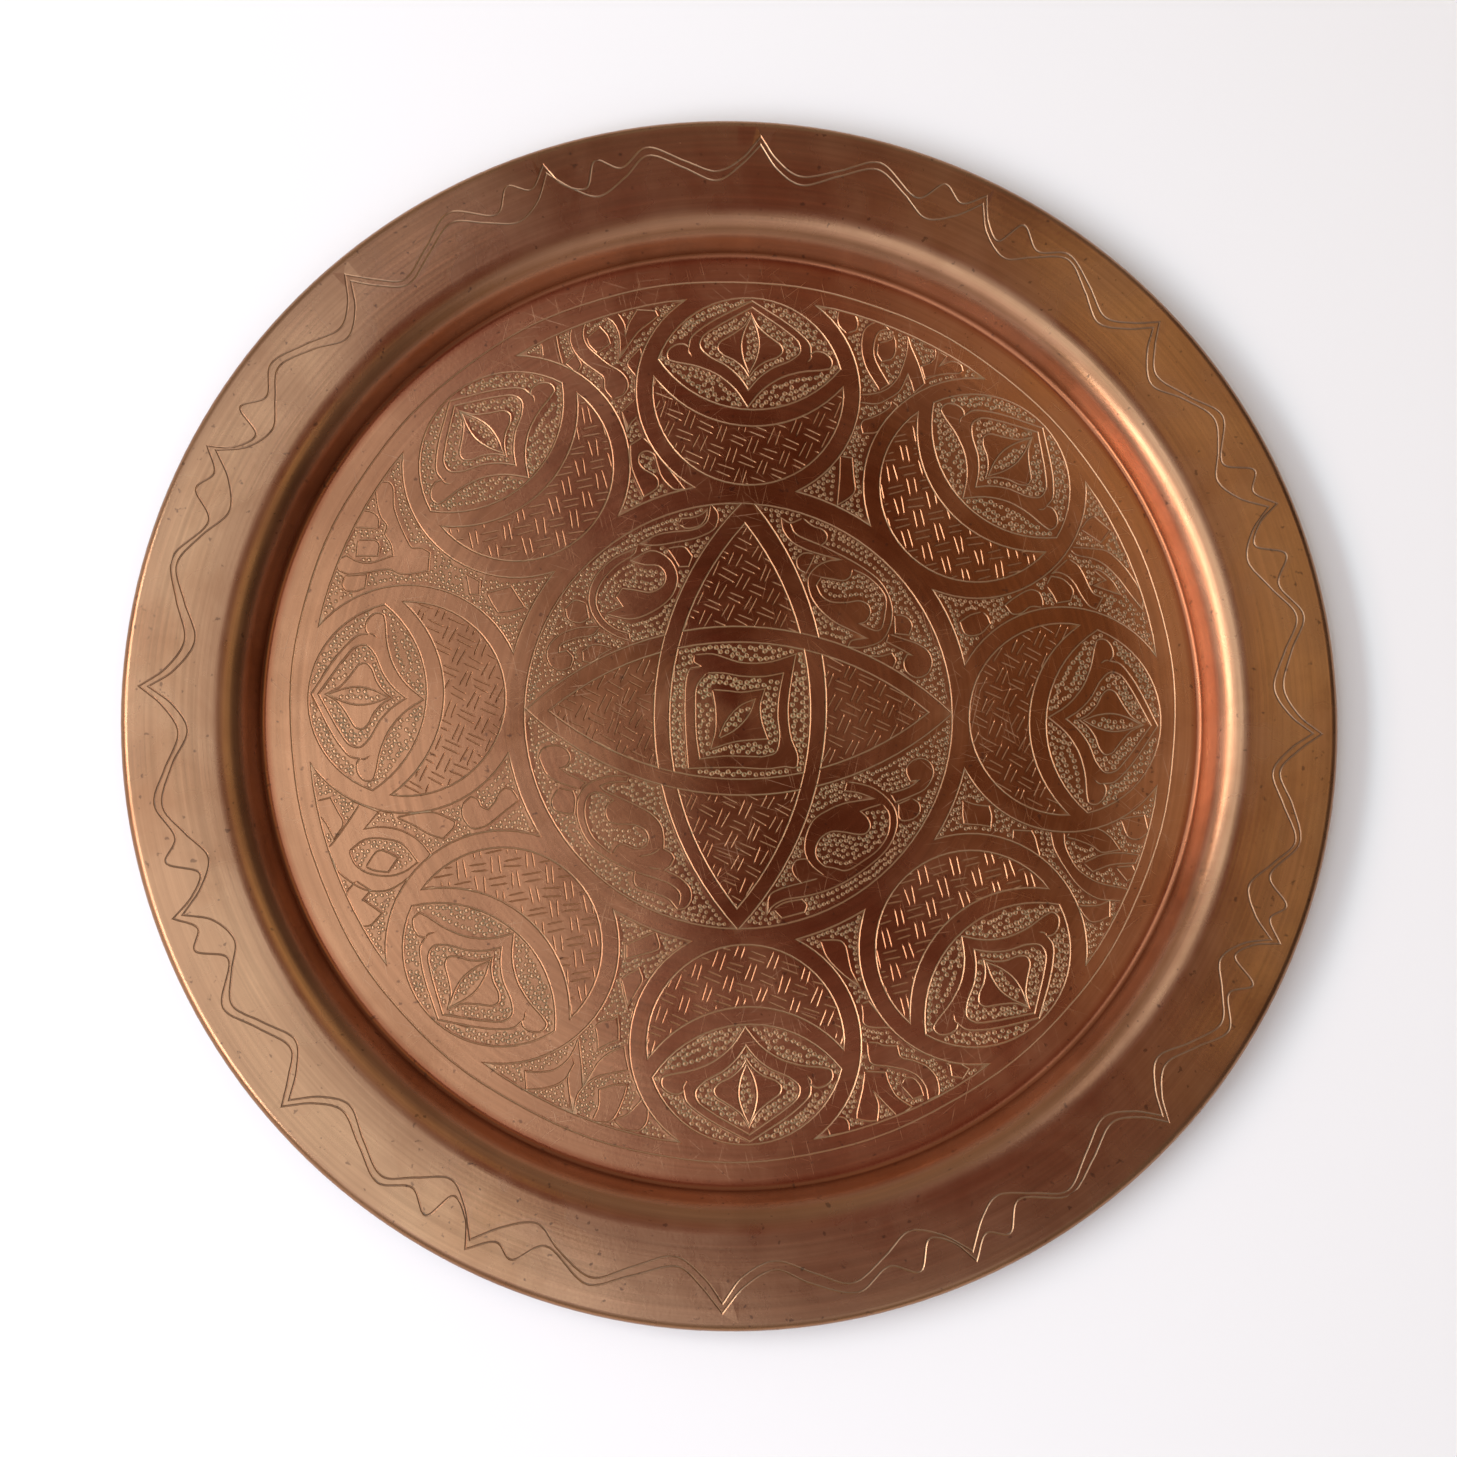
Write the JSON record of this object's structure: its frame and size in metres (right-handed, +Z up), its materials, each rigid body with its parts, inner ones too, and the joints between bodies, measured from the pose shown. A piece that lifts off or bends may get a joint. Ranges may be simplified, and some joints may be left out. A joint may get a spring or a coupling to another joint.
{
  "type": "round serving tray",
  "caption": "Round shallow copper serving tray with a flat chased floor, a short steep wall, a broad brim and an edge rolled over a steel wire.",
  "frame": {"origin": "centre of the flat underside, at the height where the tray rests", "axes": "+Z up along the tray's axis of symmetry; +X and +Y lie in the plane of the floor, and the chased pattern has its medallions on them"},
  "size_m": [0.4, 0.4, 0.0141],
  "materials": {
    "copper": "satin copper with a light brown tarnish, khaki residue in the chased lines",
    "steel_wire": "dull drawn wire"
  },
  "bodies": {
    "root": {"tray_sheet": "copper", "rim_wire": "steel_wire"}
  },
  "joints": []
}
